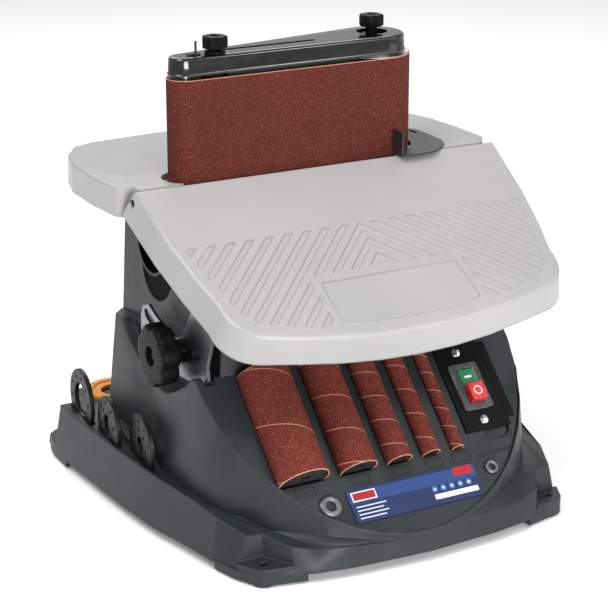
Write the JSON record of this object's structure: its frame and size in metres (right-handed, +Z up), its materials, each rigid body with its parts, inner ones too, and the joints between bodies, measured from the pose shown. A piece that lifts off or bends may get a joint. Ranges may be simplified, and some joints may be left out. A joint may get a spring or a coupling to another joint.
{
  "type": "oscillating spindle sander",
  "caption": "Bench oscillating sander: upright sanding belt through a grey table, tilting front table, dark base storing sleeves and inserts.",
  "frame": {"origin": "on the floor under the middle of the base", "axes": "+Z up, +Y to the back, +X to the right of someone facing the switch"},
  "size_m": [0.436, 0.438, 0.4645],
  "materials": {
    "housing": "dark slate grey, fine grain",
    "black_plastic": "black, matt",
    "gloss_black": "black, gloss",
    "cast_table": "light warm grey, fine orange peel",
    "zinc": "zinc plated",
    "steel": "bright",
    "chrome": "domed, polished",
    "abrasive": "brick red abrasive cloth",
    "rubber": "black",
    "clear": "clear",
    "green": "green",
    "red": "red",
    "orange": "orange",
    "blue_label": "printed film",
    "bronze": "machined",
    "fence": "black, satin"
  },
  "bodies": {
    "base": {"base_housing": "housing", "bottom_cover": "black_plastic", "foot_front_left": "rubber", "foot_front_right": "rubber", "foot_rear_left": "rubber", "foot_rear_right": "rubber", "rear_table": "cast_table", "hinge_pin_left": "steel", "hinge_pin_right": "steel", "lock_stud_left": "steel", "lock_stud_right": "steel", "dust_port": "black_plastic", "switch_plate": "black_plastic", "switch_surround": "clear", "switch_body": "black_plastic", "switch_screw_upper": "chrome", "switch_screw_lower": "chrome", "sleeve_51": "abrasive", "sleeve_38": "abrasive", "sleeve_26": "abrasive", "sleeve_19": "abrasive", "sleeve_13": "abrasive", "drum_51": "rubber", "drum_38": "rubber", "drum_26": "rubber", "drum_19": "rubber", "washer_large": "steel", "washer_small": "steel", "insert_a": "black_plastic", "insert_b": "black_plastic", "insert_c": "black_plastic", "insert_orange": "orange", "belt_stop": "fence", "label_plate": "blue_label", "motor_body": "steel", "spindle_bush": "bronze", "gear_plate": "zinc", "cord_gland": "rubber"},
    "front_table": {"front_table": "cast_table", "quadrant_left": "zinc", "quadrant_right": "zinc"},
    "lock_knob_left": {"lock_knob_left": "black_plastic"},
    "lock_knob_right": {"lock_knob_right": "black_plastic"},
    "carriage": {"belt_frame": "black_plastic", "belt_cover": "gloss_black", "sanding_belt": "abrasive", "idler_axle": "steel"},
    "spindle": {"spindle": "steel", "drive_drum": "rubber", "drum_washer": "steel", "drum_knob": "black_plastic", "spindle_gear": "bronze"},
    "idler": {"idler_roller": "steel"},
    "tracking_knob": {"tracking_knob": "black_plastic"},
    "tension_lever": {"tension_lever": "steel"},
    "motor_rotor": {"motor_pinion": "steel"},
    "cam": {"cam_wheel": "steel"},
    "start_button": {"start_button": "green"},
    "stop_button": {"stop_button": "red"}
  },
  "joints": [
    {"name": "table_tilt", "type": "hinge", "parent": "base", "child": "front_table", "pos_m": [0, -0.008, 0.3205], "axis": [1, 0, 0], "range_deg": [-29.2, 15.8]},
    {"name": "lock_left_turn", "type": "hinge", "parent": "base", "child": "lock_knob_left", "pos_m": [-0.17, -0.014, 0.1705], "axis": [-1, 0, 0], "range_deg": [0, 540]},
    {"name": "lock_right_turn", "type": "hinge", "parent": "base", "child": "lock_knob_right", "pos_m": [0.17, -0.014, 0.1705], "axis": [1, 0, 0], "range_deg": [0, 540]},
    {"name": "oscillation", "type": "slide", "parent": "base", "child": "carriage", "axis": [0, 0, 1], "range_m": [-0.016, 0]},
    {"name": "spindle_rotation", "type": "hinge", "parent": "carriage", "child": "spindle", "pos_m": [0.0819, 0.0391, 0.33], "axis": [0, 0, 1], "continuous": true},
    {"name": "idler_rotation", "type": "hinge", "parent": "carriage", "child": "idler", "pos_m": [-0.1316, 0.0179, 0.37], "axis": [0, 0, 1], "continuous": true},
    {"name": "motor_rotation", "type": "hinge", "parent": "base", "child": "motor_rotor", "pos_m": [0.0294, 0.0391, 0.2], "axis": [0, 0, 1], "continuous": true},
    {"name": "cam_rotation", "type": "hinge", "parent": "base", "child": "cam", "pos_m": [0.0819, 0.1, 0.1885], "axis": [0, 1, 0], "continuous": true},
    {"name": "tracking_turn", "type": "hinge", "parent": "carriage", "child": "tracking_knob", "pos_m": [-0.102, 0.015, 0.455], "axis": [0, 0, 1], "range_deg": [-180, 180]},
    {"name": "tension_turn", "type": "hinge", "parent": "carriage", "child": "tension_lever", "pos_m": [-0.1215, 0.0145, 0.45], "axis": [0, 0, 1], "range_deg": [-60, 60]},
    {"name": "start_press", "type": "slide", "parent": "base", "child": "start_button", "axis": [0, 0.6947, -0.7193], "range_m": [0, 0.003], "stiffness_N_per_m": 300},
    {"name": "stop_press", "type": "slide", "parent": "base", "child": "stop_button", "axis": [0, 0.6947, -0.7193], "range_m": [0, 0.003], "stiffness_N_per_m": 300}
  ],
  "couplings": [
    {"joint": "idler_rotation", "follows": "spindle_rotation", "ratio": 2.2205},
    {"joint": "motor_rotation", "follows": "spindle_rotation", "ratio": -2.8889},
    {"joint": "cam_rotation", "follows": "spindle_rotation", "ratio": 0.029}
  ]
}
